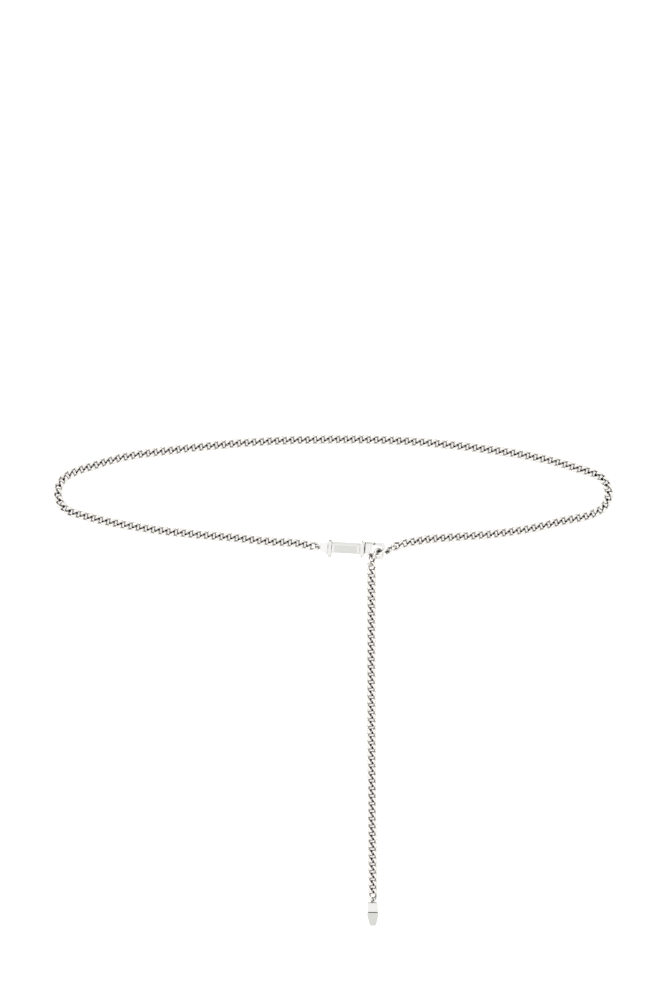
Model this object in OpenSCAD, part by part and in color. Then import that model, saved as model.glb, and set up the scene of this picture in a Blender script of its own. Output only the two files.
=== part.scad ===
// Waist chain: a curb chain lying in a loop, one of its links caught on the hook
// of a bar clasp, and the rest of the chain running on as a tail with a metal tip.
// X runs along the clasp, Y away from the tail, Z up from the surface. Millimetres.

/* [Chain] */
// Thickness of the wire that the links are bent from
wire_d = 1.65; // [1.4:0.05:1.9]
// Room along the inside of a link beyond the two wires that it holds
link_slack = 2.25; // [1.9:0.05:2.7]
// Room across the inside of a link beyond one wire
link_room = 1.1; // [0.9:0.05:1.4]
// Play between neighbouring links when the chain is pulled straight
link_play = 0.55; // [0.45:0.05:0.7]
// Twist of a link's ends out of its own plane, in degrees
link_lean = 46; // [44:1:50]
// Radius of the chain's two end turns
turn_r = 13.5; // [12.5:0.5:16]
// Distance of each end turn's centre from the middle of the loop
turn_x = 167.5; // [150:0.5:190]

/* [Clasp] */
// Turn of the whole clasp on the surface, seen from above, in degrees
clasp_turn = -3.5; // [-5:0.5:0]
// How far the clasp's axis lies beyond the middle of the hooked link
axis_off = 0.8; // [0.4:0.1:1.4]

/* [Clasp bar] */
// Length of the bar between the collars
bar_long = 18.4; // [14:0.2:24]
// Width of the bar, seen from above
bar_wide = 7.3; // [6.8:0.1:10]
// Thickness of the bar
bar_thick = 4.8; // [4.2:0.1:5.8]
// Width of the slope along the bar's far edge
bar_slope = 1.9; // [1:0.1:2.2]
// Cut along the bar's other edges
bar_cut = 0.5; // [0.3:0.05:0.6]
// Length of the sunk panel on the bar
panel_long = 14.6; // [8:0.2:17]
// Width of the sunk panel
panel_wide = 4.1; // [2:0.1:4.3]
// Depth of the sunk panel
panel_deep = 0.35; // [0.2:0.05:0.6]
// Rim left between the panel and the bar's near edge
panel_rim = 0.75; // [0.6:0.05:0.9]

/* [Collars] */
// Width of both collars, seen from above
collar_wide = 11.4; // [9:0.1:13]
// Height of both collars, which the clasp rests on
collar_high = 6.1; // [5.8:0.1:7]
// Length of the collar behind the bar
rear_collar_long = 2.3; // [1.5:0.1:4]
// Length of the collar in front of the bar
front_collar_long = 2.8; // [2:0.1:4]
// How far the rear collar sits off the axis, towards the near side
rear_collar_off = 1; // [0:0.1:1.4]
// How far the front collar sits off the axis, towards the near side
front_collar_off = 0.2; // [0:0.1:1]
// Cut along the collars' edges
collar_cut = 1.1; // [0.6:0.1:1.3]
// Length of the front collar's pointed shoulders
shoulder_long = 2.4; // [1.5:0.1:3]

/* [End cap] */
// Length of the tapered cap that holds the chain's first link
cap_long = 5.1; // [4:0.1:8]
// Width of the cap at the chain
cap_narrow = 5.2; // [4.4:0.1:6.4]
// Width of the cap at the collar
cap_wide = 8.3; // [6.8:0.1:10]
// Height of the cap at the chain
cap_low = 3.6; // [3:0.1:4.4]
// Height of the cap at the collar
cap_high = 5.4; // [4.6:0.1:6]
// How far the cap's narrow end sits off the axis, towards the near side
cap_off = 0.25; // [0:0.05:0.6]
// Height of the cap's narrow end above the surface
cap_lift = 0.5; // [0.3:0.1:0.8]

/* [Hook] */
// Length of the hook from the collar to the outside of its bend
hook_long = 13; // [12:0.1:15]
// Width of the hook's solid end
hook_wide = 7.8; // [6:0.1:8]
// Thickness of the hook's solid end
hook_thick = 5.2; // [4.4:0.1:6]
// Length of the hook's solid end
end_long = 4.7; // [4:0.1:4.8]
// Rounding of the solid end's inner corner
throat_r = 3.4; // [2.6:0.1:3.6]
// Width of the slope along the hook's back
back_slope = 1.3; // [0.8:0.1:1.6]
// Room between the hooked link and the inside of the hook
hook_room = 0.6; // [0.5:0.05:0.9]
// Width of the bent arm where a link hangs on it
arm_w = 1.5; // [1.2:0.05:1.6]
// Height of the bent arm
arm_h = 2; // [1.6:0.1:2.2]
// Width of the arm along the hook's back
back_w = 1.9; // [1.4:0.1:2.2]
// Width of the nose at the arm's free end
nose_w = 1.8; // [1.4:0.1:2.4]
// Length of the nose from the outside of the bend
nose_long = 4.8; // [3.6:0.1:4.9]

/* [Tail tip] */
// Width of the tip's box, seen from above
tip_wide = 6.9; // [5.4:0.1:8]
// Height of the tip's box
tip_high = 4.2; // [3.8:0.1:6]
// Length of the tip's box
tip_box_long = 6.3; // [4:0.1:9]
// Width of the groove between the box and the point
tip_groove = 0.5; // [0.3:0.05:0.8]
// Length of the pointed part
tip_point_long = 8.7; // [5:0.1:12]
// Width of the blunt end
tip_blunt = 3.2; // [1.6:0.1:4]
// How far the pointed part stands proud of the box on each side
tip_proud = 0.3; // [0.2:0.05:0.5]
// Cut along the edges of the tip
tip_cut = 0.5; // [0.3:0.05:0.7]
// Depth of the groove round the tip
groove_deep = 0.6; // [0.4:0.05:0.8]

/* [Joints between pieces] */
// Thickness of the wire of the two rings that hold the end links
ring_wire = 1.1; // [0.9:0.05:1.2]
// Gap all round between a ring and the link wire in it
ring_gap = 0.22; // [0.18:0.01:0.3]
// Gap between neighbouring pieces of the clasp
seam = 0.15; // [0.1:0.01:0.3]
// Diameter of the hidden pin that the clasp's pieces are threaded on
pin_d = 2.4; // [1.8:0.1:2.8]
// Gap round the hidden pin
pin_gap = 0.1; // [0.08:0.01:0.2]
// Depth of the pin's seats in the cap and in the hook
pin_seat = 2.4; // [1.5:0.1:3]

/* [Hidden] */
$fn = 48;

// Roundings of the hook's bend, outside and inside, and the lean of its back's slope
outer_r = 1.6;
inner_r = 1;
back_lean = 35;
// How far the front collar's foot is set in
foot_in = 0.4;
// The blunt end of the tip: its height above the surface, and its thickness
point_rise = 0.8;
point_high = 1.8;

// The chain's route, chosen by hand. The front and the back are points [x, y] on
// the surface. Each link near the hook has its own row of place, heading, rise
// and roll, because the chain stands on edge where the hook's arm goes through.
// The tail is points [x, y] again.
front_left = 0;
back = 1;
front_right = 2;
at_hook = 3;
tail = 4;
chain_route = [
    [[-22, -33.9], [-44, -32.3], [-66, -29.9], [-90, -27.8], [-114, -25.2], [-136, -21.7], [-156, -17.6]],
    [[-158, 17.3], [-137, 23.2], [-112, 26.8], [-84, 30.1], [-56, 32.6], [-28, 34.1], [0, 34.7],
     [28, 34.4], [56, 33], [80, 30.7], [104, 27.7], [126, 24.3], [146, 20], [160, 15.8]],
    [[150, -19.2], [126, -24.6], [102, -27.8], [78, -29.6], [64, -30.8]],
    [[52.3, -32.6, 1.9, 192, 0, 0], [47.1, -33.7, 2.05, 194, 4, 0], [42.1, -35.1, 2.7, 199, 10, 15],
     [37.95, -37.4, 3.25, 210.5, 2.5, 63.5], [32.8, -38.8, 3.1, 187, 2.3, 86], [27.95, -40.4, 3.5, 224, -5, 108],
     [25.2, -44.6, 3.2, 268, -7, 145], [25.2, -49.7, 2.5, 270, -9, 173]],
    [[25.2, -54.9], [25, -100], [25.2, -160], [25.6, -220], [26, -264.5]]];

// The end turns are arcs. Each has its height on the page, its first and last angle,
// and the number of parts that it is drawn in
left_turn_y = -0.5;
left_turn_from = -100;
left_turn_to = -250;
right_turn_y = -0.8;
right_turn_from = 70;
right_turn_to = -68;
turn_parts = 8;

// Half length, half width and rise of a link along the middle of its wire. The rise
// is negative, which slants the wires on top from low left to high right
link_a = (3 * wire_d + link_slack) / 2;
link_b = (2 * wire_d + link_room) / 2;
link_h = -link_b * tan(link_lean);
pitch = 2 * link_a - wire_d - link_play;

// One corner of the link, where a straight side bends over into an end
corner = [link_a, link_b, link_h];
to_side = unit([-link_a, 0, -link_h]);
to_end = unit([0, -link_b, -link_h]);
bend_turn = 180 - acos(to_side * to_end);
bend_start = norm([0, link_b, link_h]);
bend_r = bend_start / tan(bend_turn / 2);
bend_in = unit(to_end - (to_end * to_side) * to_side);
bend_centre = corner + to_side * bend_start + bend_in * bend_r;
// Where two wires meet, each runs a little way into the other
wire_step = 0.02;
wire_lap = 0.06;
lap_turn = wire_lap / bend_r * 180 / PI;

// Height of a link's middle when it lies flat
rest_parts = 24;
rest_z = max([for (t = [0:bend_turn / rest_parts:bend_turn]) abs(bend_point(t)[2])]) + wire_d / 2;

function unit(v) = v / norm(v);
function bend_point(t) = bend_centre - bend_in * bend_r * cos(t) - to_side * bend_r * sin(t);

// Smooth curve through chosen points, with a few steps between each two
curve_steps = 8;
function slope(p, i) =
    i == 0 ? unit(p[1] - p[0]) :
    i == len(p) - 1 ? unit(p[i] - p[i - 1]) :
    let (before = norm(p[i] - p[i - 1]), after = norm(p[i + 1] - p[i]))
        (after * (p[i] - p[i - 1]) / before + before * (p[i + 1] - p[i]) / after) / (before + after);
function between(p, i, t) =
    let (reach = norm(p[i + 1] - p[i]))
        (2 * t * t * t - 3 * t * t + 1) * p[i] + (t * t * t - 2 * t * t + t) * reach * slope(p, i)
        + (3 * t * t - 2 * t * t * t) * p[i + 1] + (t * t * t - t * t) * reach * slope(p, i + 1);
function curve(p) =
    [for (i = [0:len(p) - 2], k = [0:curve_steps - 1]) between(p, i, k / curve_steps), p[len(p) - 1]];
function way(p) = [for (i = 0, s = 0; i < len(p);
                        s = s + (i < len(p) - 1 ? norm(p[i + 1] - p[i]) : 0), i = i + 1) s];
function arc(centre, r, from, to, parts) =
    [for (k = [0:parts])
        let (angle = from + (to - from) * k / parts) centre + r * [cos(angle), sin(angle)]];

// Rows of place, heading, rise and roll for links spread evenly along a curve
function spread(p, roll) =
    let (path = curve(p), s = way(path), count = round(s[len(s) - 1] / pitch), step = s[len(s) - 1] / count,
         xs = [for (i = [0:len(path) - 1]) [s[i], path[i][0]]],
         ys = [for (i = [0:len(path) - 1]) [s[i], path[i][1]]])
        [for (i = [0:count])
            let (here = i * step, a = max(0, here - pitch / 2), b = min(s[len(s) - 1], here + pitch / 2),
                 dx = lookup(b, xs) - lookup(a, xs), dy = lookup(b, ys) - lookup(a, ys))
                [lookup(here, xs), lookup(here, ys), rest_z, atan2(dy, dx), 0, roll]];

// The clasp is drawn along its own axis, from the middle of the hooked link, and
// then turned and moved to that link
hooked = chain_route[at_hook][4];
throat = link_b + wire_d / 2 + hook_room;
hook_right = arm_w / 2;
hook_left = hook_right - hook_long;
hook_top = throat + back_w;
body_low = hook_top - hook_wide;
body_right = hook_left + end_long;
// The hook slims down from its solid end to the height of its arm between these
slim_start = body_right + inner_r / 2;
slim_end = slim_start + 2 * inner_r;
nose_low = -throat - nose_w;
clasp_z = collar_high / 2;
front_collar_x = hook_left - 2 * seam - front_collar_long;
bar_x = front_collar_x - seam - bar_long;
rear_collar_x = bar_x - seam - rear_collar_long;
cap_x = rear_collar_x - seam - cap_long;
cap_y = axis_off - cap_off;
pin_start = rear_collar_x - pin_seat;
pin_end = hook_left + pin_seat;

// A ring's radius, and how far its middle stands from the face that it is set in.
// The ring's wire is sunk in that face by a share of its thickness
ring_sunk = 0.2;
ring_r = (wire_d + ring_wire) / 2 + ring_gap;
ring_reach = ring_r - ring_sunk * ring_wire;
first_x = cap_x - ring_reach - link_a;
first_link = [hooked[0] + first_x * cos(clasp_turn) - cap_y * sin(clasp_turn),
              hooked[1] + first_x * sin(clasp_turn) + cap_y * cos(clasp_turn)];
loop_points = concat(
    [first_link], chain_route[front_left],
    arc([-turn_x, left_turn_y], turn_r, left_turn_from, left_turn_to, turn_parts),
    chain_route[back],
    arc([turn_x, right_turn_y], turn_r, right_turn_from, right_turn_to, turn_parts),
    chain_route[front_right],
    [[chain_route[at_hook][0][0], chain_route[at_hook][0][1]]]);
loop_links = concat(spread(loop_points, 0), [for (i = [1:4]) chain_route[at_hook][i]]);
tail_links = concat([for (i = [5:7]) chain_route[at_hook][i]], spread(chain_route[tail], 180));
last_link = tail_links[len(tail_links) - 1];

// Where the tail tip starts, and where its groove and its shoulders are
tip_x = last_link[0];
tip_top = last_link[1] - link_a - ring_reach;
box_end = tip_top - tip_box_long;
groove_end = box_end - tip_groove;
tip_end = groove_end - tip_point_long;
tip_shoulder = groove_end - 3 * tip_cut;

// Moves a piece drawn along the clasp's axis to its place
module at_clasp() {
    translate([hooked[0], hooked[1], 0]) rotate([0, 0, clasp_turn]) children();
}

// Moves a piece to a link's row
module at_link(row) {
    translate([row[0], row[1], row[2]])
        rotate([0, 0, row[3]]) rotate([0, -row[4], 0]) rotate([row[5], 0, 0]) children();
}

module bend(d) {
    x = -bend_in;
    y = -to_side;
    z = cross(x, y);
    multmatrix([[x[0], y[0], z[0], bend_centre[0]],
                [x[1], y[1], z[1], bend_centre[1]],
                [x[2], y[2], z[2], bend_centre[2]],
                [0, 0, 0, 1]])
        rotate([0, 0, -lap_turn])
        rotate_extrude(angle = bend_turn + 2 * lap_turn)
            translate([bend_r, 0]) circle(d = d);
}

module side() {
    translate([0, link_b, 0]) rotate([0, 90 - atan2(link_h, link_a), 0])
        cylinder(d = wire_d, h = 2 * (norm([link_a, link_h]) - bend_start), center = true);
}

// One link: two straight sides and four bends, as a wire loop twisted to lie flat
module link() {
    side();
    rotate([180, 0, 0]) side();
    bend(wire_d + wire_step);
    rotate([180, 0, 0]) bend(wire_d + 2 * wire_step);
    rotate([0, 180, 0]) bend(wire_d + 2 * wire_step);
    rotate([0, 0, 180]) bend(wire_d + wire_step);
}

// The ring soldered into a cap or tip, round one end wire of a link
module ring(row, end) {
    at_link(row) translate([end * link_a, 0, 0]) rotate([-end * (90 + link_lean), 0, 0])
        rotate_extrude() translate([ring_r, 0]) circle(d = ring_wire);
}

// The bore that the hidden pin runs in, blind in the cap and in the hook
module pin_hole() {
    translate([pin_start - pin_gap, axis_off, clasp_z]) rotate([0, 90, 0])
        cylinder(d = pin_d + 2 * pin_gap, h = pin_end - pin_start + 2 * pin_gap);
}

// A bar along X whose section has its four edges cut off
module cut_bar(long, wide, high, cut) {
    rotate([90, 0, 90]) linear_extrude(long)
        polygon([[-wide / 2 + cut, -high / 2], [wide / 2 - cut, -high / 2], [wide / 2, -high / 2 + cut],
                 [wide / 2, high / 2 - cut], [wide / 2 - cut, high / 2], [-wide / 2 + cut, high / 2],
                 [-wide / 2, high / 2 - cut], [-wide / 2, -high / 2 + cut]]);
}

module waist_chain() {
    color("#d9d9d6") for (row = loop_links) at_link(row) link();
}

module tail_chain() {
    color("#d2d2cf") for (row = tail_links) at_link(row) link();
}

module end_cap() {
    far = rear_collar_x - seam;
    wide_y = axis_off - rear_collar_off;
    color("#c9c9c6") {
        at_clasp() difference() {
            intersection() {
                linear_extrude(collar_high)
                    polygon([[cap_x, cap_y - cap_narrow / 2], [cap_x, cap_y + cap_narrow / 2],
                             [far, wide_y + cap_wide / 2], [far, wide_y - cap_wide / 2]]);
                translate([0, wide_y + cap_wide, 0]) rotate([90, 0, 0]) linear_extrude(2 * cap_wide)
                    polygon([[cap_x, cap_lift], [cap_x, cap_lift + cap_low],
                             [far, clasp_z + cap_high / 2], [far, clasp_z - cap_high / 2]]);
            }
            pin_hole();
        }
        ring(loop_links[0], -1);
    }
}

module rear_collar() {
    color("#dededb") at_clasp() difference() {
        translate([rear_collar_x, axis_off - rear_collar_off, clasp_z])
            cut_bar(rear_collar_long, collar_wide, collar_high, collar_cut);
        pin_hole();
    }
}

module clasp_bar() {
    w = bar_wide / 2;
    h = bar_thick / 2;
    color("#cfcfca") at_clasp() difference() {
        translate([bar_x, axis_off, clasp_z]) rotate([90, 0, 90]) linear_extrude(bar_long)
            polygon([[-w + bar_cut, -h], [w - bar_cut, -h], [w, -h + bar_cut], [w, h - bar_slope / 2],
                     [w - bar_slope, h], [-w + bar_cut, h], [-w, h - bar_cut], [-w, -h + bar_cut]]);
        translate([bar_x + (bar_long - panel_long) / 2, axis_off - w + panel_rim, clasp_z + h - panel_deep])
            cube([panel_long, panel_wide, bar_thick]);
        pin_hole();
    }
}

// The front collar has a pointed far end and a narrower foot at the near end
module front_collar() {
    near = axis_off - front_collar_off - collar_wide / 2;
    far = near + collar_wide;
    foot = near + 2 * collar_cut;
    start = front_collar_x;
    end = start + front_collar_long;
    color("#e2e2df") at_clasp() difference() {
        intersection() {
            linear_extrude(collar_high)
                polygon([[start + foot_in, near], [end - foot_in, near], [end - foot_in, foot - foot_in],
                         [end, foot], [end, far - shoulder_long], [end - 0.3 * front_collar_long, far],
                         [start + 0.45 * front_collar_long, far], [start, far - shoulder_long],
                         [start, foot], [start + foot_in, foot - foot_in]]);
            translate([start - seam, (near + far) / 2, clasp_z])
                cut_bar(front_collar_long + 2 * seam, collar_wide, collar_high, collar_cut);
        }
        pin_hole();
    }
}

// The hook's outline from above: solid end, back, bend, nose and throat
module hook_outline() {
    tip_r = nose_w / 2;
    arm_left = hook_right - arm_w;
    polygon(concat(
        [[hook_left, hook_top]],
        arc([hook_right - inner_r, hook_top - inner_r], inner_r, 90, 0, 4),
        arc([hook_right - outer_r, nose_low + outer_r], outer_r, 0, -90, 5),
        arc([hook_right - nose_long + tip_r, nose_low + tip_r], tip_r, 270, 90, 6),
        arc([arm_left - inner_r, -throat + inner_r], inner_r, -90, 0, 4),
        arc([arm_left - inner_r, throat - inner_r], inner_r, 0, 90, 4),
        arc([body_right + inner_r, throat - inner_r], inner_r, 90, 180, 4),
        arc([body_right - throat_r, body_low + throat_r], throat_r, 0, -90, 6),
        [[hook_left, body_low]]));
}

module hook() {
    low = clasp_z - hook_thick / 2;
    high = clasp_z + hook_thick / 2;
    arm_low = clasp_z - arm_h / 2;
    arm_high = clasp_z + arm_h / 2;
    color("#e0e0dc") at_clasp() difference() {
        intersection() {
            linear_extrude(collar_high) hook_outline();
            translate([0, hook_top + seam, 0]) rotate([90, 0, 0]) linear_extrude(2 * hook_long)
                polygon([[hook_left, low], [slim_start, low], [slim_end, arm_low],
                         [hook_right, arm_low], [hook_right, arm_high], [slim_end, arm_high],
                         [slim_start, high], [hook_left, high]]);
        }
        translate([hook_left - seam, hook_top - back_slope, high]) rotate([-back_lean, 0, 0])
            cube([hook_long, 2 * back_w, hook_thick]);
        pin_hole();
    }
}

// One plain pin, hidden inside, that the clasp's pieces are threaded on
module core_pin() {
    color("#b9b9b5") at_clasp() translate([pin_start, axis_off, clasp_z]) rotate([0, 90, 0])
        cylinder(d = pin_d, h = pin_end - pin_start);
}

// The tail tip's outline from above: box, shoulders and blunt point
module tip_outline() {
    w = tip_wide / 2;
    end_w = tip_blunt / 2;
    polygon([[tip_x - w + tip_cut, tip_top], [tip_x + w - 2 * tip_cut, tip_top],
             [tip_x + w, tip_top - 2 * tip_cut], [tip_x + w, box_end], [tip_x + w + tip_proud, tip_shoulder],
             [tip_x + end_w + tip_cut, tip_end + tip_cut], [tip_x + end_w, tip_end],
             [tip_x - end_w, tip_end], [tip_x - end_w - tip_cut, tip_end + tip_cut],
             [tip_x - w - tip_proud, tip_shoulder], [tip_x - w, box_end], [tip_x - w, tip_top - tip_cut]]);
}

module tail_tip() {
    top_z = tip_high + tip_proud;
    color("#d6d6d2") {
        difference() {
            intersection() {
                linear_extrude(top_z) tip_outline();
                translate([tip_x - tip_wide, 0, 0]) rotate([90, 0, 90]) linear_extrude(2 * tip_wide)
                    polygon([[tip_top, tip_cut], [tip_top - tip_cut, 0], [tip_shoulder, 0],
                             [tip_end, point_rise], [tip_end, point_rise + point_high],
                             [tip_shoulder, top_z], [groove_end, top_z], [box_end, tip_high],
                             [tip_top - tip_cut, tip_high], [tip_top, tip_high - tip_cut]]);
            }
            difference() {
                translate([tip_x - tip_wide, groove_end, -tip_cut])
                    cube([2 * tip_wide, tip_groove, tip_high + 3 * tip_cut]);
                translate([tip_x - tip_wide / 2 + groove_deep, groove_end - tip_groove, groove_deep])
                    cube([tip_wide - 2 * groove_deep, 3 * tip_groove, tip_high - 2 * groove_deep]);
            }
        }
        ring(last_link, 1);
    }
}

waist_chain();
tail_chain();
end_cap();
rear_collar();
clasp_bar();
front_collar();
hook();
core_pin();
tail_tip();
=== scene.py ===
# %% [markdown]
# # A waist chain on a bar clasp
#
# The object is a curb chain of about a metre. It lies in a long loop, one of its
# links hangs on the hook of a small bar clasp, and what is left of it runs on as a
# free tail with a metal tip. Everything is plated metal, so the looks come down to
# three things: the true shape of a twisted and filed link, edges soft enough to
# catch light, and a light set-up that gives polished metal something to reflect.
#
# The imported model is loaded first. It fixes every size and place, and each piece
# made below stands exactly where its solid stands.

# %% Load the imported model
import math

import bmesh
import bpy
import numpy as np
from mathutils import Matrix, Vector


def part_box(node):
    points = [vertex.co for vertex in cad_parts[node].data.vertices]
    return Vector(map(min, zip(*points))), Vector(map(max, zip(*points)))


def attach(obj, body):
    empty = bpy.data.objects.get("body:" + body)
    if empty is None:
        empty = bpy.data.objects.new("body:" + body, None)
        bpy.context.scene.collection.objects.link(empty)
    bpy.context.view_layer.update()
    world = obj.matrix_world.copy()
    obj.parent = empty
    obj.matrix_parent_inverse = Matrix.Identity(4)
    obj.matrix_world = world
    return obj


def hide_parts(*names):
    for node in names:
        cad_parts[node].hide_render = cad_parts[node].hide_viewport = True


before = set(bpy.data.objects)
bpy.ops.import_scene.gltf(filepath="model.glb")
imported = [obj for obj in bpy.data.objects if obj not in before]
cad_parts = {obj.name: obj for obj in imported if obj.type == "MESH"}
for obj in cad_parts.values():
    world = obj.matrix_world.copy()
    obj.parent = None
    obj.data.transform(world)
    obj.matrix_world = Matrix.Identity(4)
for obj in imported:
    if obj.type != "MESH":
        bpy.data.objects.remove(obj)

MM = 0.001
scene = bpy.context.scene
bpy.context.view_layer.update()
print("nodes:", sorted(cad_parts))

# %% [markdown]
# ## Small tools
#
# Colours are easiest to judge as hex values, but a shader works in linear light, so
# one function turns the first into the second. Shader trees are long to write by
# hand. One function adds a node together with its settings and links, which keeps
# each material down to the lines that say something about the metal.

# %% Colour and shader helpers
def hex_linear(code):
    """A hex sRGB colour as linear red, green, blue and alpha."""
    parts = [int(code[i:i + 2], 16) / 255 for i in (1, 3, 5)]
    return [c / 12.92 if c <= 0.04045 else ((c + 0.055) / 1.055) ** 2.4 for c in parts] + [1.0]


def add_node(tree, kind, settings=None, **inputs):
    """Adds a node. A value that is a socket is linked, and any other value is set."""
    node = tree.nodes.new(kind)
    for name, value in (settings or {}).items():
        setattr(node, name, value)
    for name, value in inputs.items():
        socket = node.inputs[int(name[1:])] if name[1:].isdigit() else node.inputs[name.replace("_", " ")]
        if isinstance(value, bpy.types.NodeSocket):
            tree.links.new(value, socket)
        else:
            socket.default_value = value
    return node


print("mid grey in linear light:", round(hex_linear("#808080")[0], 3))

# %% [markdown]
# ## The camera
#
# The chain was photographed from straight above, lying flat. A long lens from high
# up keeps the loop free of perspective, as the photo shows it. The picture is a
# portrait of 667 by 1000 pixels, and one pixel stands for 0.658 mm on the surface.

# %% Camera
PIXEL = 0.658 * MM
PICTURE = (667, 1000)
CAMERA_HEIGHT = 2.6
SENSOR = 36.0
VIEW_CENTRE = (0.16 * MM, -5.1 * MM)

camera_data = bpy.data.cameras.new("camera")
camera_data.sensor_fit = "VERTICAL"
camera_data.sensor_height = SENSOR
camera_data.lens = SENSOR * CAMERA_HEIGHT / (PICTURE[1] * PIXEL)
camera = bpy.data.objects.new("camera", camera_data)
camera.location = (*VIEW_CENTRE, CAMERA_HEIGHT)
scene.collection.objects.link(camera)
scene.camera = camera
print("lens", round(camera_data.lens, 1), "mm")

# %% [markdown]
# ## Surface and light
#
# The photo is high key: a white surface that burns out to white, and metal whose
# tops are as white as the surface. Product photographers get this with a lit white
# table and one broad light overhead, and they keep the room dark, so that polished
# metal shows dark lines along its flanks. The same is done here. The table glows a
# little, and the sky is bright only around a point nearly overhead. That point leans
# a few degrees towards the tail, which turns the slopes on the clasp's far side
# grey. A soft lamp from the far left gives the forms a direction.

# %% Surface and light
TABLE_SIZE = 6.0
TABLE_COLOUR = "#F7F7F6"
TABLE_ROUGHNESS = 0.9
TABLE_SHINE = 0.1
TABLE_GLOW = 0.6
SKY_TOP = "#FFFFFF"
SKY_SIDE = "#382F29"
SKY_SIDE_UP_TO = 0.12
SKY_TOP_FROM = 0.6
SKY_STRENGTH = 1.12
LIGHT_CAP = (0.02, -0.07, 1.0)
LAMP_SIZE = 1.2
LAMP_PLACE = (-1.3, 1.3, 1.8)
LAMP_POWER = 12

half = TABLE_SIZE / 2
table_corners = [(-half, -half, 0), (half, -half, 0), (half, half, 0), (-half, half, 0)]
table_mesh = bpy.data.meshes.new("table")
table_mesh.from_pydata(table_corners, [], [(0, 1, 2, 3)])
table = bpy.data.objects.new("table", table_mesh)
scene.collection.objects.link(table)

card = bpy.data.materials.new("white_acrylic_sheet")
card.use_nodes = True
card_shader = card.node_tree.nodes["Principled BSDF"]
card_shader.inputs["Base Color"].default_value = hex_linear(TABLE_COLOUR)
card_shader.inputs["Roughness"].default_value = TABLE_ROUGHNESS
card_shader.inputs["Specular IOR Level"].default_value = TABLE_SHINE
card_shader.inputs["Emission Color"].default_value = hex_linear(TABLE_COLOUR)
card_shader.inputs["Emission Strength"].default_value = TABLE_GLOW
table_mesh.materials.append(card)

studio = bpy.data.worlds.new("studio")
studio.use_nodes = True
sky = studio.node_tree
sky.nodes.clear()
direction = add_node(sky, "ShaderNodeTexCoord")
towards_light = add_node(sky, "ShaderNodeVectorMath", {"operation": "DOT_PRODUCT"},
                         _0=direction.outputs["Generated"], _1=Vector(LIGHT_CAP).normalized())
band = add_node(sky, "ShaderNodeValToRGB", Fac=towards_light.outputs["Value"])
band.color_ramp.interpolation = "EASE"
band.color_ramp.elements[0].position = SKY_SIDE_UP_TO
band.color_ramp.elements[0].color = hex_linear(SKY_SIDE)
band.color_ramp.elements[1].position = SKY_TOP_FROM
band.color_ramp.elements[1].color = hex_linear(SKY_TOP)
glow = add_node(sky, "ShaderNodeBackground", Color=band.outputs["Color"], Strength=SKY_STRENGTH)
add_node(sky, "ShaderNodeOutputWorld", Surface=glow.outputs["Background"])
scene.world = studio
scene.view_settings.view_transform = "Standard"

lamp_data = bpy.data.lights.new("soft_box", "AREA")
lamp_data.size = LAMP_SIZE
lamp_data.energy = LAMP_POWER
lamp = bpy.data.objects.new("soft_box", lamp_data)
lamp.location = LAMP_PLACE
lamp.rotation_euler = (-Vector(LAMP_PLACE)).to_track_quat("-Z", "Y").to_euler()
scene.collection.objects.link(lamp)
print("table", TABLE_SIZE, "m, lamp", LAMP_POWER, "W")

# %% [markdown]
# ## The metals
#
# Such chains are brass with a thin coat of rhodium or nickel, buffed bright. The
# plating is a nearly neutral white metal, a touch warmer than chrome. Buffing leaves
# hairlines finer than 0.1 mm, far too fine for one pixel, so they are drawn about
# four times as coarse and very shallow: enough to stop the metal from looking like
# liquid. The bar's sunk panel and the point of the tip are duller, as if tumbled.
# The crossings inside a link and the seams between the clasp's pieces lie in shade, and that shade is
# painted: there the plating gets a dark colour and a duller finish.

# %% Plated metals
HAIRLINE_DEEP = 0.02 * MM
CLOUD_SIZE = 6 * MM
POLISH_VARIES = 0.25
CREVICE_ROUGHNESS = 0.5


def plated_metal(name, colours, roughness, hairline_mm, depth, stretch=(1, 1, 1), painted_shade=None):
    """A plated surface: metal colour, hairlines of a given width, uneven polish, and a painted shade colour
    where the mesh asks for it.
    """
    material = bpy.data.materials.new(name)
    material.use_nodes = True
    tree = material.node_tree
    shader = tree.nodes["Principled BSDF"]
    shader.inputs["Metallic"].default_value = 1.0
    place = add_node(tree, "ShaderNodeTexCoord")
    lines = add_node(tree, "ShaderNodeMapping", Vector=place.outputs["Object"], Scale=stretch)
    noise = add_node(tree, "ShaderNodeTexNoise", Vector=lines.outputs["Vector"],
                     Scale=1 / (hairline_mm * MM), Detail=2.0)
    bump = add_node(tree, "ShaderNodeBump", Height=noise.outputs["Fac"],
                    Strength=depth, Distance=HAIRLINE_DEEP)
    cloud = add_node(tree, "ShaderNodeTexNoise", Vector=place.outputs["Object"],
                     Scale=1 / CLOUD_SIZE, Detail=1.0)
    polish = add_node(tree, "ShaderNodeMapRange", Value=cloud.outputs["Fac"],
                      To_Min=roughness * (1 - POLISH_VARIES),
                      To_Max=roughness * (1 + POLISH_VARIES)).outputs["Result"]
    tone = add_node(tree, "ShaderNodeMix", {"data_type": "RGBA"}, Factor=cloud.outputs["Fac"],
                    _6=hex_linear(colours[0]), _7=hex_linear(colours[1])).outputs[2]
    if painted_shade:
        # Painted shade: the mesh says at each point how free of it the point is, 0 in full painted shade, 1
        # not shaded at all
        reach = add_node(tree, "ShaderNodeAttribute", {"attribute_name": "shade_free"}).outputs["Fac"]
        tone = add_node(tree, "ShaderNodeMix", {"data_type": "RGBA"}, Factor=reach,
                        _6=hex_linear(painted_shade), _7=tone).outputs[2]
        polish = add_node(tree, "ShaderNodeMix", Factor=reach,
                          _2=CREVICE_ROUGHNESS, _3=polish).outputs[0]
    tree.links.new(tone, shader.inputs["Base Color"])
    tree.links.new(polish, shader.inputs["Roughness"])
    tree.links.new(bump.outputs["Normal"], shader.inputs["Normal"])
    return material


# The chain's metal paints shade into the crossings of its links, in the near black #0E0D0D
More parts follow.
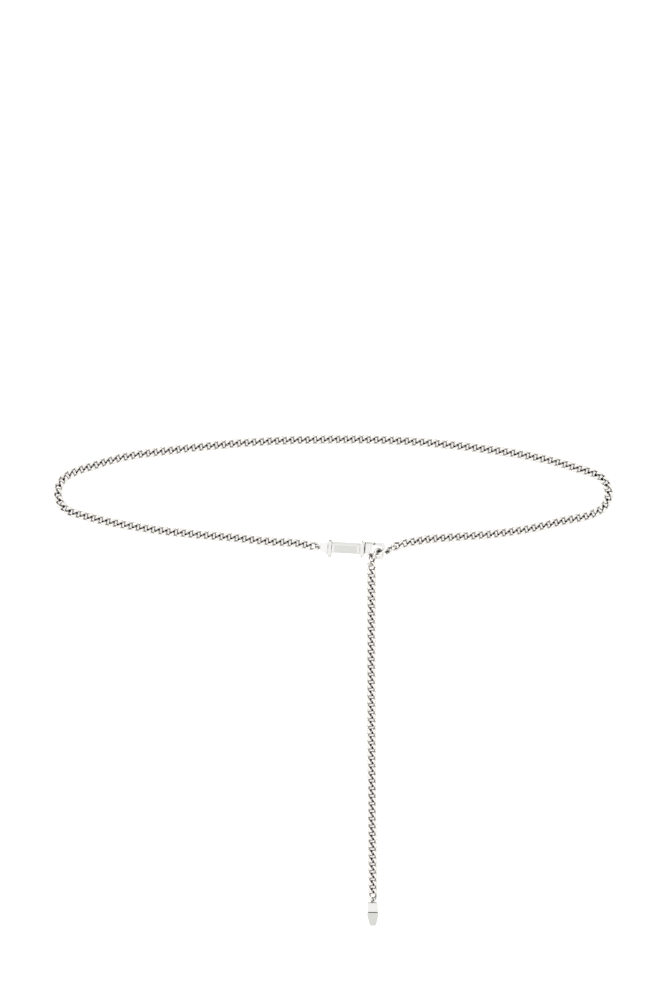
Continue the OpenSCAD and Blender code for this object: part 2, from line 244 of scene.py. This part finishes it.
bright_plating_with_painted_shade = plated_metal("bright_rhodium_plating_with_painted_shade", ("#E9E6E1", "#F3F1ED"), 0.14, 0.4, 0.1,
                              painted_shade="#0E0D0D")
clasp_plating = plated_metal("buffed_rhodium_plating", ("#E2E1DE", "#EAE9E7"), 0.3, 0.4, 0.15, (0.1, 1, 1))
satin_plating = plated_metal("satin_rhodium_plating", ("#D0D1CC", "#D8D8D4"), 0.42, 0.3, 0.5, (0.08, 1, 1))
# Painted shade for the seams between the clasp's pieces: a dark plating colour where the pieces shade each
# other
seam_painted_shade = plated_metal("painted_shade_in_the_seams", ("#2A2928", "#343332"), 0.6, 0.4, 0.3)
pin_steel = plated_metal("drawn_steel_wire", ("#B4B4B2", "#BDBDBB"), 0.35, 0.2, 0.3, (0.05, 1, 1))
print("metals:", [m.name for m in (bright_plating_with_painted_shade, clasp_plating, satin_plating, seam_painted_shade, pin_steel)])

# %% [markdown]
# ## One link
#
# A curb link starts as an oval of round wire. It is twisted by about a quarter turn so that the chain lies
# flat, and then both faces are filed or rolled, which leaves bright flats on top and spreads the wire
# outwards beside them. The face that shows is filed deeper than the underside. A curve object with a bevel
# could give the wire, but not the flats, so the wire is swept from rings of points, and each ring is cut flat
# at the two filing planes. The size comes from the chain's own solids, measured below.

# %% Read the links' places from the chain's solids
WELD = 0.002 * MM
SAMPLE_LINK = 20


def islands(node):
    """The separate solids of a node: for each its points, and its triangles' middles and areas."""
    copy = bmesh.new()
    copy.from_mesh(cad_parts[node].data)
    bmesh.ops.remove_doubles(copy, verts=copy.verts, dist=WELD)
    copy.verts.ensure_lookup_table()
    seen = [False] * len(copy.verts)
    found = []
    for start in copy.verts:
        if seen[start.index]:
            continue
        group, queue = [], [start]
        seen[start.index] = True
        while queue:
            vert = queue.pop()
            group.append(vert)
            for edge in vert.link_edges:
                other = edge.other_vert(vert)
                if not seen[other.index]:
                    seen[other.index] = True
                    queue.append(other)
        faces = {face for vert in group for face in vert.link_faces}
        found.append((np.array([v.co for v in group]),
                      np.array([f.calc_center_median() for f in faces]),
                      np.array([f.calc_area() for f in faces])))
    copy.free()
    return found


def link_place(island):
    """A link's middle and the three axes of its shape, longest first. The last axis points up."""
    points, middles, areas = island
    centre = (middles * areas[:, None]).sum(0) / areas.sum()
    offset = middles - centre
    spread = (offset * areas[:, None]).T @ offset
    axes = np.linalg.eigh(spread)[1][:, ::-1]
    if axes[2, 2] < 0:
        axes[:, 2] *= -1
    if np.linalg.det(axes) < 0:
        axes[:, 1] *= -1
    return centre, axes


chain_islands = {node: islands(node) for node in ("waist_chain", "tail_chain")}
link_places = {node: [link_place(i) for i in found] for node, found in chain_islands.items()}
sample_centre, sample_axes = link_places["tail_chain"][SAMPLE_LINK]
sample_points = chain_islands["tail_chain"][SAMPLE_LINK][0]
LINK_REACH = np.abs((sample_points - sample_centre) @ sample_axes).max(0)
print("links:", {node: len(places) for node, places in link_places.items()})
print("half sizes of a link in mm:", (LINK_REACH / MM).round(2))

# %% Sweep and file one link
WIRE = 1.65 * MM
WIRE_TALL = 1.7 * MM
LEAN = math.radians(46)
# How far the wire spreads beside a flat, on its inner and its outer side, and how far
# it is pressed inwards all round
SPREAD_IN = 0.2 * MM
SPREAD_OUT = 0.36 * MM
PRESSED_IN = 0.07 * MM
# The spread grows between these heights above or below the link's middle
SPREAD_FROM = 0.2 * MM
SPREAD_FULL = 0.85 * MM
# Heights of the two filing planes, and the softness of the flats' edges
FLAT_TOP = 1.62 * MM
FLAT_LOW = 1.80 * MM
EDGE = 0.09 * MM
LEAST_FLAT = 0.3
UNCUT = math.radians(80)
STEPS_BEND = 12
STEPS_SIDE = 5
STEPS_FLANK = 3

half_long = LINK_REACH[0] - WIRE / 2
half_wide = LINK_REACH[1] - WIRE / 2
half_rise = -half_wide * math.tan(LEAN)


def unit(vector):
    return vector / np.linalg.norm(vector)


def link_line():
    """Points along the middle of the link's wire: four bends joined by two straight sides."""
    corner = np.array([half_long, half_wide, half_rise])
    to_side, to_end = unit(np.array([-half_long, 0, -half_rise])), unit(np.array([0, -half_wide, -half_rise]))
    turn = math.pi - math.acos(to_side @ to_end)
    start = np.linalg.norm([half_wide, half_rise])
    radius = start / math.tan(turn / 2)
    inward = unit(to_end - (to_end @ to_side) * to_side)
    centre = corner + to_side * start + inward * radius
    # From the straight side round to the middle of the link's end
    bend = [centre - inward * radius * math.cos(t) - to_side * radius * math.sin(t)
            for t in np.linspace(0, turn, STEPS_BEND)]
    half_turn_x, half_turn_z = np.diag([1, -1, -1]), np.diag([-1, -1, 1])
    other_bend = [half_turn_x @ p for p in bend[::-1]]
    half_loop = bend + other_bend[1:]
    far_half = [half_turn_z @ p for p in half_loop]
    sides = [(half_loop[-1], far_half[0]), (far_half[-1], half_loop[0])]
    fill = [[a + (b - a) * k / STEPS_SIDE for k in range(1, STEPS_SIDE)] for a, b in sides]
    return np.array(half_loop + fill[0] + far_half + fill[1])


def filed_angle(depth, tall):
    """The angle at which the filing plane, this far from the wire's middle, cuts its section."""
    return min(UNCUT, math.asin(min(1.0, depth / tall)))


def filed_section(point, tangent):
    """One section of the wire. Filing leaves flats on it, and rolling has spread it near them."""
    across = unit(np.cross([0, 0, 1.0], tangent))
    upward = unit(np.cross(tangent, across))
    rise = np.clip((abs(point[2]) - SPREAD_FROM) / (SPREAD_FULL - SPREAD_FROM), 0, 1)
    spread = rise * rise * (3 - 2 * rise)
    inside = WIRE / 2 + PRESSED_IN + (SPREAD_IN - PRESSED_IN) * spread
    outside, tall = WIRE / 2 + SPREAD_OUT * spread, WIRE_TALL / 2
    top = filed_angle(FLAT_TOP - point[2], tall * upward[2])
    low = filed_angle(FLAT_LOW + point[2], tall * upward[2])
    turned = EDGE / inside
    flank = np.linspace(-low + turned, top - turned, STEPS_FLANK + 1)
    rows = [(inside * math.cos(t), tall * math.sin(t)) for t in flank]
    for angle, side in ((top, 1), (low, -1)):
        halves = [wide * math.cos(angle) for wide in (inside, outside)]
        ends = [max(reach - EDGE, LEAST_FLAT * reach) for reach in halves]
        flat = [(ends[0], side * tall * math.sin(angle)), (-ends[1], side * tall * math.sin(angle))]
        if side == 1:
            rows += flat + [(-outside * math.cos(t), tall * math.sin(t)) for t in flank[::-1]]
        else:
            rows += flat[::-1]
    return [point + across * x + upward * z for x, z in rows], top < UNCUT, low < UNCUT


def sweep_link():
    """The link's points, its faces, and which of them are filed flats."""
    line = link_line()
    following = np.roll(line, -1, 0)
    if (line[:, 0] * following[:, 1] - line[:, 1] * following[:, 0]).sum() < 0:
        line = line[::-1]
    sections = [filed_section(p, t) for p, t in zip(line, np.roll(line, -1, 0) - np.roll(line, 1, 0))]
    around = len(sections[0][0])
    top_row, low_row = STEPS_FLANK + 1, around - 2
    faces, flats = [], []
    for i, (_, top, low) in enumerate(sections):
        after = (i + 1) % len(sections)
        for k in range(around):
            beside = (k + 1) % around
            faces.append((i * around + k, after * around + k, after * around + beside, i * around + beside))
            flats.append((k == top_row and top and sections[after][1])
                         or (k == low_row and low and sections[after][2]))
    return np.vstack([s[0] for s in sections]), faces, flats


link_points, link_faces, link_flats = sweep_link()
print("one link:", len(link_points), "points,", 2 * len(link_faces), "triangles,",
      sum(link_flats), "filed faces")

# %% [markdown]
# ## The two runs of chain
#
# The chain is one mesh for the loop and one for the tail. Arrays along a curve would
# bend the links, so each link is placed stiff, on the middle and the three axes that
# were read from its own solid. A number kept at each point tells the metal how much painted shade to give it:
# full in the crossings inside a link, where the links shade each other, and none on the faces and the outer
# sides.

# %% How much painted shade each point of a link gets
CROSSING_SHARE = 0.5
CROSSING_FADE = 0.2

# A point low in the link and near its middle lies in a crossing and gets painted shade, which fades to none
# higher up or further out
height_share = np.abs(link_points[:, 2]) / FLAT_TOP
side_share = np.abs(link_points[:, 1]) / LINK_REACH[1]
link_shade_free = np.clip((np.maximum(height_share, side_share) - CROSSING_SHARE) / CROSSING_FADE, 0, 1)
# This counts the points in full painted shade
print("points that stay unbuffed:", int((link_shade_free == 0).sum()), "of", len(link_shade_free))

# %% Lay the links
# The least share of the painted shade that a link on edge keeps in its crossings
ON_EDGE = 0.7


def add_piece(name, mesh, material, slot, *nodes):
    """Puts a finished mesh in the scene, in place of the nodes that it stands for."""
    mesh.materials.append(material)
    piece = bpy.data.objects.new(name, mesh)
    scene.collection.objects.link(piece)
    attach(piece, "root")
    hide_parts(*nodes)
    return piece


def chain_piece(name, node):
    """All links of a run in one mesh, each placed on its own solid."""
    places = link_places[node]
    count, total = len(link_points), len(places)
    faces = (np.array(link_faces)[None] + np.arange(total)[:, None, None] * count).reshape(-1, 4)
    points = np.vstack([centre + link_points @ axes.T for centre, axes in places])
    # A link that stands on edge is pressed flat where its spread wire would dip into the surface
    points[:, 2] = np.maximum(points[:, 2], 0)
    mesh = bpy.data.meshes.new(name)
    mesh.from_pydata(points.tolist(), [], faces.tolist())
    mesh.polygons.foreach_set("use_smooth", [not flat for flat in link_flats] * total)
    # Light gets at the crossings of a link that stands on edge, so they are less dark there
    flatness = np.array([max(axes[2, 2], ON_EDGE) for _, axes in places])
    shade_free = 1 - flatness[:, None] * (1 - link_shade_free)[None]
    # Each point's share free of painted shade goes to the chain's metal
    mesh.attributes.new("shade_free", "FLOAT", "POINT").data.foreach_set("value", shade_free.ravel())
    mesh.update()
    print(name, total, "links,", 2 * len(faces), "triangles")
    return add_piece(name, mesh, bright_plating_with_painted_shade, "chain", node)


waist_links = chain_piece("waist_links", "waist_chain")
tail_links = chain_piece("tail_links", "tail_chain")

# %% [markdown]
# ## The clasp's own axes
#
# The clasp lies a few degrees askew on the surface. Its pieces are easier to draw
# along their own axis, so that axis is read from the hidden pin that they all sit
# on. Every piece is then drawn in millimetres along it and turned into place.

# %% The clasp's axes
def points_of(node):
    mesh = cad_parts[node].data
    flat = np.empty(len(mesh.vertices) * 3)
    mesh.vertices.foreach_get("co", flat)
    return flat.reshape(-1, 3)


pin_points = points_of("core_pin")
pin_centre = (pin_points.min(0) + pin_points.max(0)) / 2
left_end = pin_points[pin_points[:, 0] < pin_centre[0]].mean(0)
right_end = pin_points[pin_points[:, 0] > pin_centre[0]].mean(0)
clasp_turn = math.atan2(*(right_end - left_end)[1::-1])
pin_place = Matrix.Translation((pin_centre[0], pin_centre[1], 0))
CLASP = pin_place @ Matrix.Rotation(clasp_turn, 4, "Z") @ Matrix.Scale(MM, 4)
AXIS_Z = pin_centre[2] / MM


def clasp_box(node):
    """A node's lowest and highest corner along the clasp's axes, in millimetres."""
    back = CLASP.inverted()
    local = np.array([back @ Vector(p) for p in points_of(node)])
    return local.min(0), local.max(0)


print("clasp turned by", round(math.degrees(clasp_turn), 2), "degrees, axis at", round(AXIS_Z, 2), "mm")

# %% [markdown]
# ## Tools for the clasp
#
# The real pieces are cast and then filed: plain faces with softened edges. A face
# with a sharp edge looks like paper in a render, because no metal edge is sharp
# enough to catch no light. Each piece is cut from prisms, as a file would cut it,
# and the bevel modifier then breaks its edges.

# %% Prisms, cuts and soft edges
SOFT_EDGE = 0.2
# Edges that turn by less than this are facets of a round and stay as they are
SHARP = math.radians(22)
BORE = 1.3
BORE_STEPS = 32
# A cutting tool runs this far past a piece, or past all pieces: down, up and sideways
PAST = 1
UNDER, OVER, ASIDE = -1, 8, 12
# Faces this near to a plane lie in it
TOUCH = 0.02


def prism(outline, start, end, along="z"):
    """A solid with this outline, between two planes across an axis. Sizes are in millimetres."""
    order = {"x": (2, 0, 1), "y": (0, 2, 1), "z": (0, 1, 2)}[along]
    work = bmesh.new()
    rims = []
    for level in (start, end):
        corners = [(*point, level) for point in outline]
        rims.append([work.verts.new([corner[k] for k in order]) for corner in corners])
    work.faces.new(rims[0])
    work.faces.new(rims[1])
    for k in range(len(outline)):
        following = (k + 1) % len(outline)
        work.faces.new((rims[0][k], rims[0][following], rims[1][following], rims[1][k]))
    bmesh.ops.recalc_face_normals(work, faces=work.faces)
    mesh = bpy.data.meshes.new("prism")
    work.to_mesh(mesh)
    work.free()
    return mesh


def with_modifiers(mesh, *modifiers):
    """The mesh after these modifiers, each given as its kind and its settings."""
    holder = bpy.data.objects.new("holder", mesh)
    scene.collection.objects.link(holder)
    for kind, settings in modifiers:
        modifier = holder.modifiers.new(kind.lower(), kind)
        for name, value in settings.items():
            setattr(modifier, name, value)
    graph = bpy.context.evaluated_depsgraph_get()
    result = bpy.data.meshes.new_from_object(holder.evaluated_get(graph))
    bpy.data.objects.remove(holder)
    return result


def cut(mesh, tool_mesh, operation="DIFFERENCE"):
    """The mesh after one boolean cut."""
    tool = bpy.data.objects.new("tool", tool_mesh)
    scene.collection.objects.link(tool)
    result = with_modifiers(mesh, ("BOOLEAN", {"operation": operation, "object": tool, "solver": "EXACT"}))
    bpy.data.objects.remove(tool)
    return result


def circle(centre, radius, steps, start=0.0, end=360.0):
    """Points round a circle, or along a part of it."""
    count = steps if end - start == 360 else steps + 1
    angles = [math.radians(start + (end - start) * k / steps) for k in range(count)]
    return [(centre[0] + radius * math.cos(a), centre[1] + radius * math.sin(a)) for a in angles]


def whole(spot):
    """The share of the bevel's width where a piece's edges are all equally soft."""
    return 1.0


def finish_mesh(mesh, name, edge=SOFT_EDGE, place=CLASP, share=whole):
    """Breaks the edges, each by its share of the width, and moves the mesh into place."""
    work = bmesh.new()
    work.from_mesh(mesh)
    weight = work.edges.layers.float.new("bevel_weight_edge")
    for line in work.edges:
        if len(line.link_faces) == 2 and line.calc_face_angle() > SHARP:
            line[weight] = share((line.verts[0].co + line.verts[1].co) / 2)
    for face in work.faces:
        face.smooth = True
    work.to_mesh(mesh)
    work.free()
    # Hardened normals keep the plain faces plain right up to their soft edges
    mesh = with_modifiers(mesh, ("BEVEL", {"width": edge, "segments": 3, "limit_method": "WEIGHT",
                                           "harden_normals": True}))
    mesh.name = name
    mesh.materials.clear()
    mesh.transform(place)
    return mesh


def paint_seam_shade(piece, *ends, reach=TOUCH):
    """Paints shade into a seam: gives a piece's faces at these places along the axis, and a little way in,
    the dark seam colour.
    """
    piece.data.materials.append(seam_painted_shade)
    back = CLASP.inverted()
    for face in piece.data.polygons:
        if any(abs((back @ face.center).x - end) < reach for end in ends):
            face.material_index = len(piece.data.materials) - 1


def bore_tool(low, high):
    """What drills the hole for the pin, between two places along the axis."""
    return prism(circle((0, AXIS_Z), BORE, BORE_STEPS), low, high, "x")


PIN_GAP = 0.1
pin_low, pin_high = clasp_box("core_pin")
print("soft edges of", SOFT_EDGE, "mm")

# %% [markdown]
# ## End cap, collars and bar
#
# The cap tapers towards the chain. Each collar is a flat ring, cut at its corners
# and a little wider than the bar, so the bar never touches the surface. The front
# collar rises to a blunt peak on its far side. The bar has a slope along its far
# edge and a shallow panel in its top, which was left satin while the rest was
# buffed. The seams between the pieces lie in shade and show as thin dark lines, so the soft edge that faces a
# seam gets painted shade as well.

# %% End cap
CAP_LONG, CAP_NARROW, CAP_WIDE = 5.1, 5.2, 8.3
CAP_LOW, CAP_HIGH, CAP_OFF, CAP_LIFT = 3.6, 5.4, 0.25, 0.5
REAR_OFF = 1.0
CAP_EDGE = 0.45

_, cap_end = clasp_box("end_cap")
cap_x = (cap_end[0] - CAP_LONG, cap_end[0])
cap_plan = prism([(cap_x[0], -CAP_OFF - CAP_NARROW / 2), (cap_x[1], -REAR_OFF - CAP_WIDE / 2),
                  (cap_x[1], -REAR_OFF + CAP_WIDE / 2), (cap_x[0], -CAP_OFF + CAP_NARROW / 2)], 0, OVER)
cap_side = prism([(cap_x[0], CAP_LIFT), (cap_x[1], AXIS_Z - CAP_HIGH / 2),
                  (cap_x[1], AXIS_Z + CAP_HIGH / 2), (cap_x[0], CAP_LIFT + CAP_LOW)], -ASIDE, ASIDE, "y")
cap_mesh = cut(cap_plan, cap_side, "INTERSECT")
cap_mesh = cut(cap_mesh, bore_tool(pin_low[0] - PIN_GAP, cap_x[1] + PAST))
end_cap_body = add_piece("end_cap_body", finish_mesh(cap_mesh, "end_cap_body", CAP_EDGE),
                         clasp_plating, "clasp", "end_cap")
paint_seam_shade(end_cap_body, cap_x[1])
print("cap", round(cap_x[0], 2), "to", round(cap_x[1], 2), "mm")

# %% Collars
COLLAR_CUT = 1.1
SHOULDER = 2.4
FOOT_IN = 0.4
PEAK = (0.45, 0.7)


def cut_section(wide, low, high, corner):
    """A collar's section: a rectangle with its corners cut."""
    a, b = wide
    return [(a + corner, low), (b - corner, low), (b, low + corner), (b, high - corner),
            (b - corner, high), (a + corner, high), (a, high - corner), (a, low + corner)]


low, high = clasp_box("rear_collar")
rear_mesh = prism(cut_section((low[1], high[1]), low[2], high[2], COLLAR_CUT), low[0], high[0], "x")
rear_mesh = cut(rear_mesh, bore_tool(low[0] - PAST, high[0] + PAST))
rear_collar_body = add_piece("rear_collar_body", finish_mesh(rear_mesh, "rear_collar_body"),
                             clasp_plating, "clasp", "rear_collar")
paint_seam_shade(rear_collar_body, high[0], reach=SOFT_EDGE / 2)

low, high = clasp_box("front_collar")
start, end, near, far = low[0], high[0], low[1], high[1]
foot = near + 2 * COLLAR_CUT
peak_start, peak_end = (start + share * (end - start) for share in PEAK)
front_plan = prism([(start + FOOT_IN, near), (end - FOOT_IN, near), (end - FOOT_IN, foot - FOOT_IN),
                    (end, foot), (end, far - SHOULDER), (peak_end, far), (peak_start, far),
                    (start, far - SHOULDER), (start, foot), (start + FOOT_IN, foot - FOOT_IN)], UNDER, OVER)
front_side = prism(cut_section((near, far), low[2], high[2], COLLAR_CUT), start - PAST, end + PAST, "x")
front_mesh = cut(cut(front_plan, front_side, "INTERSECT"), bore_tool(start - PAST, end + PAST))
front_collar_body = add_piece("front_collar_body", finish_mesh(front_mesh, "front_collar_body"),
                              clasp_plating, "clasp", "front_collar")
paint_seam_shade(front_collar_body, end, reach=SOFT_EDGE)
print("collars", [len(m.polygons) for m in (rear_collar_body.data, front_collar_body.data)], "faces")

# %% Bar with its sunk panel
BAR_SLOPE, BAR_CUT, BAR_EDGE = 1.9, 0.5, 0.1
PANEL_LONG, PANEL_WIDE, PANEL_DEEP, PANEL_RIM = 14.6, 4.1, 0.35, 0.75

low, high = clasp_box("clasp_bar")
bar_mesh = prism([(low[1] + BAR_CUT, low[2]), (high[1] - BAR_CUT, low[2]), (high[1], low[2] + BAR_CUT),
                  (high[1], high[2] - BAR_SLOPE / 2), (high[1] - BAR_SLOPE, high[2]),
                  (low[1] + BAR_CUT, high[2]), (low[1], high[2] - BAR_CUT), (low[1], low[2] + BAR_CUT)],
                 low[0], high[0], "x")
panel_start = (low[0] + high[0] - PANEL_LONG) / 2
panel_near = low[1] + PANEL_RIM
panel_end, panel_far = panel_start + PANEL_LONG, panel_near + PANEL_WIDE
panel_cutter = prism([(panel_start, panel_near), (panel_end, panel_near), (panel_end, panel_far),
                      (panel_start, panel_far)], high[2] - PANEL_DEEP, OVER)
bar_mesh = cut(cut(bar_mesh, panel_cutter), bore_tool(low[0] - PAST, high[0] + PAST))
clasp_bar_body = add_piece("clasp_bar_body", finish_mesh(bar_mesh, "clasp_bar_body", BAR_EDGE),
                           clasp_plating, "clasp_satin", "clasp_bar")
clasp_bar_body.data.materials.append(satin_plating)
panel_z = (high[2] - PANEL_DEEP) * MM
for face in clasp_bar_body.data.polygons:
    if face.normal.z > 0.99 and abs(face.center.z - panel_z) < TOUCH * MM:
        face.material_index = 1
paint_seam_shade(clasp_bar_body, low[0], high[0])
print("bar", round(high[0] - low[0], 2), "mm long, panel", PANEL_LONG, "by", PANEL_WIDE, "mm")

# %% [markdown]
# ## The hook
#
# Solid end, back, bend and nose are one piece of metal. Seen from above its outline
# is a row of straight runs and arcs. Seen from the side it is thick at the collar
# and slims down to the arm that a link hangs on. Both outlines are drawn as prisms
# and what they share is the hook.

# %% Hook
HOOK_WIDE, ARM_W, BACK_W, NOSE_W, NOSE_LONG = 7.8, 1.5, 1.9, 1.8, 4.8
END_LONG, THROAT_R, OUTER_R, INNER_R = 4.7, 3.4, 1.6, 1.0
INNER_STEPS, OUTER_STEPS, ROUND_STEPS = 6, 8, 10
ARM_HIGH, BACK_SLOPE, BACK_LEAN = 2.0, 1.3, math.radians(30)

low, high = clasp_box("hook")
left, right, nose_low, hook_top = low[0], high[0], low[1], high[1]
throat_far, throat_near = hook_top - BACK_W, nose_low + NOSE_W
body_right, arm_left, tip_r = left + END_LONG, right - ARM_W, NOSE_W / 2
body_low = hook_top - HOOK_WIDE
hook_plan = ([(left, hook_top)]
             + circle((right - INNER_R, hook_top - INNER_R), INNER_R, INNER_STEPS, 90, 0)
             + circle((right - OUTER_R, nose_low + OUTER_R), OUTER_R, OUTER_STEPS, 0, -90)
             + circle((right - NOSE_LONG + tip_r, nose_low + tip_r), tip_r, ROUND_STEPS, 270, 90)
             + circle((arm_left - INNER_R, throat_near + INNER_R), INNER_R, INNER_STEPS, -90, 0)
             + circle((arm_left - INNER_R, throat_far - INNER_R), INNER_R, INNER_STEPS, 0, 90)
             + circle((body_right + INNER_R, throat_far - INNER_R), INNER_R, INNER_STEPS, 90, 180)
             + circle((body_right - THROAT_R, body_low + THROAT_R), THROAT_R, ROUND_STEPS, 0, -90)
             + [(left, body_low)])
slim_start = body_right + INNER_R / 2
slim_end = slim_start + 2 * INNER_R
arm = (AXIS_Z - ARM_HIGH / 2, AXIS_Z + ARM_HIGH / 2)
hook_side = prism([(left - PAST, low[2]), (slim_start, low[2]), (slim_end, arm[0]), (right + PAST, arm[0]),
                   (right + PAST, arm[1]), (slim_end, arm[1]), (slim_start, high[2]),
                   (left - PAST, high[2])], -ASIDE, ASIDE, "y")
slope_far = hook_top + PAST
slope_drop = (slope_far - hook_top + BACK_SLOPE) * math.tan(BACK_LEAN)
back_cutter = prism([(hook_top - BACK_SLOPE, high[2]), (slope_far, high[2] - slope_drop),
                     (slope_far, high[2] + PAST), (hook_top - BACK_SLOPE, high[2] + PAST)],
                    left - PAST, right + PAST, "x")
hook_mesh = cut(prism(hook_plan, UNDER, OVER), hook_side, "INTERSECT")
hook_mesh = cut(cut(hook_mesh, back_cutter), bore_tool(left - PAST, pin_high[0] + PIN_GAP))


ARM_EDGE, SEAM_EDGE, END_EDGE = 0.55, 0.4, 0.22
NEAR = 0.1


def hook_share(spot):
    """The arm is rounded all over, and the solid end only a little along its edges."""
    if spot.x > slim_end - NEAR:
        return 1.0
    return (SEAM_EDGE if spot.x < left + NEAR else END_EDGE) / ARM_EDGE


hook_body = add_piece("hook_body", finish_mesh(hook_mesh, "hook_body", ARM_EDGE, CLASP, hook_share),
                      clasp_plating, "clasp", "hook")
paint_seam_shade(hook_body, left, reach=SEAM_EDGE)
print("hook", round(right - left, 2), "mm long, throat", round(throat_far - throat_near, 2), "mm wide")

# %% [markdown]
# ## The tail tip
#
# The tip is a small box, a groove and a blunt point, cast in one. The box was buffed and the point left
# duller, so two finishes share one mesh, and the groove gets painted shade.

# %% Tail tip
TIP_WIDE, TIP_HIGH, TIP_BOX, TIP_GROOVE, TIP_POINT = 6.9, 4.2, 6.3, 0.5, 8.7
TIP_BLUNT, TIP_PROUD, TIP_CUT, GROOVE_DEEP = 3.2, 0.3, 0.5, 0.6
POINT_RISE, POINT_HIGH = 0.8, 1.8

tip_low, tip_high_corner = (np.array(corner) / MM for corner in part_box("tail_tip"))
tip_x, tip_end = (tip_low[0] + tip_high_corner[0]) / 2, tip_low[1]
groove_end = tip_end + TIP_POINT
box_end = groove_end + TIP_GROOVE
tip_top = box_end + TIP_BOX
shoulder = groove_end - 3 * TIP_CUT
half, end_half, top_z = TIP_WIDE / 2, TIP_BLUNT / 2, TIP_HIGH + TIP_PROUD
tip_plan = prism([(tip_x + u, v) for u, v in (
    (-half + TIP_CUT, tip_top), (half - 2 * TIP_CUT, tip_top), (half, tip_top - 2 * TIP_CUT),
    (half, box_end), (half + TIP_PROUD, shoulder), (end_half + TIP_CUT, tip_end + TIP_CUT),
    (end_half, tip_end), (-end_half, tip_end), (-end_half - TIP_CUT, tip_end + TIP_CUT),
    (-half - TIP_PROUD, shoulder), (-half, box_end), (-half, tip_top - TIP_CUT))], UNDER, OVER)
tip_side = prism([(tip_top, TIP_CUT), (tip_top - TIP_CUT, 0), (shoulder, 0), (tip_end, POINT_RISE),
                  (tip_end, POINT_RISE + POINT_HIGH), (shoulder, top_z), (groove_end, top_z),
                  (box_end, TIP_HIGH), (tip_top - TIP_CUT, TIP_HIGH), (tip_top, TIP_HIGH - TIP_CUT)],
                 tip_x - ASIDE, tip_x + ASIDE, "x")
groove_outside = prism([(tip_x - ASIDE, groove_end), (tip_x + ASIDE, groove_end),
                        (tip_x + ASIDE, box_end), (tip_x - ASIDE, box_end)], UNDER, OVER)
core_left, core_right = tip_x - half + GROOVE_DEEP, tip_x + half - GROOVE_DEEP
groove_core = prism([(core_left, groove_end - PAST), (core_right, groove_end - PAST),
                     (core_right, box_end + PAST), (core_left, box_end + PAST)],
                    GROOVE_DEEP, TIP_HIGH - GROOVE_DEEP)
tip_mesh = cut(cut(tip_plan, tip_side, "INTERSECT"), cut(groove_outside, groove_core))
tip_mesh = finish_mesh(tip_mesh, "tail_tip_body", SOFT_EDGE, Matrix.Scale(MM, 4))
tail_tip_body = add_piece("tail_tip_body", tip_mesh, clasp_plating, "clasp_satin", "tail_tip")
tail_tip_body.data.materials.append(satin_plating)
tail_tip_body.data.materials.append(seam_painted_shade)
# The groove's faces get the painted seam shade, and the point gets the satin finish
for face in tail_tip_body.data.polygons:
    along = face.center.y / MM
    if groove_end + TOUCH < along < box_end - TOUCH:
        face.material_index = 2
    elif along < groove_end + TOUCH:
        face.material_index = 1
print("tip", round(tip_top - tip_end, 2), "mm long")

# %% [markdown]
# ## The two soldered rings
#
# A ring of wire, half sunk in its piece, holds each end link. It turns round the
# end wire of that link, so its axis is the wire's own direction there.

# %% Rings
RING_WIRE, RING_GAP = 1.1 * MM, 0.22 * MM
RING_STEPS, RING_AROUND = 40, 14
ring_radius = (WIRE + RING_WIRE) / 2 + RING_GAP


def ring_piece(name, place, towards, node):
    """A torus round the end wire of a link, at the link's end that points to a given place."""
    centre, axes = place
    end = 1 if (np.array(towards) - centre) @ axes[:, 0] > 0 else -1
    middle = centre + axes[:, 0] * end * half_long
    wire_way = unit(axes @ np.array([0, -end * half_wide, -half_rise]))
    side = axes[:, 0]
    third = np.cross(wire_way, side)
    points, faces = [], []
    for i in range(RING_STEPS):
        turn = 2 * math.pi * i / RING_STEPS
        out = side * math.cos(turn) + third * math.sin(turn)
        for k in range(RING_AROUND):
            t = 2 * math.pi * k / RING_AROUND
            from_middle = ring_radius + RING_WIRE / 2 * math.cos(t)
            points.append(middle + out * from_middle + wire_way * RING_WIRE / 2 * math.sin(t))
            after, beside = (i + 1) % RING_STEPS, (k + 1) % RING_AROUND
            faces.append((i * RING_AROUND + k, after * RING_AROUND + k,
                          after * RING_AROUND + beside, i * RING_AROUND + beside))
    mesh = bpy.data.meshes.new(name)
    mesh.from_pydata([tuple(p) for p in points], [], faces)
    mesh.polygons.foreach_set("use_smooth", [True] * len(faces))
    return add_piece(name, mesh, clasp_plating, "clasp", node)


def nearest(node, spot):
    """The place of the link of a run that lies nearest to a given spot."""
    return min(link_places[node], key=lambda place: np.linalg.norm(place[0] - spot))


cap_face = np.array(CLASP @ Vector((cap_x[0], 0, AXIS_Z)))
tip_face = np.array([tip_x, tip_top, TIP_HIGH / 2]) * MM
cap_ring = ring_piece("cap_ring", nearest("waist_chain", cap_face), cap_face, "end_cap")
tip_ring = ring_piece("tip_ring", nearest("tail_chain", tip_face), tip_face, "tail_tip")
print("rings of", round(ring_radius / MM, 2), "mm radius")

# %% The hidden pin keeps its solid
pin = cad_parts["core_pin"]
pin.data.materials.clear()
pin.data.materials.append(pin_steel)
print("pin", round(pin_high[0] - pin_low[0], 2), "mm long")
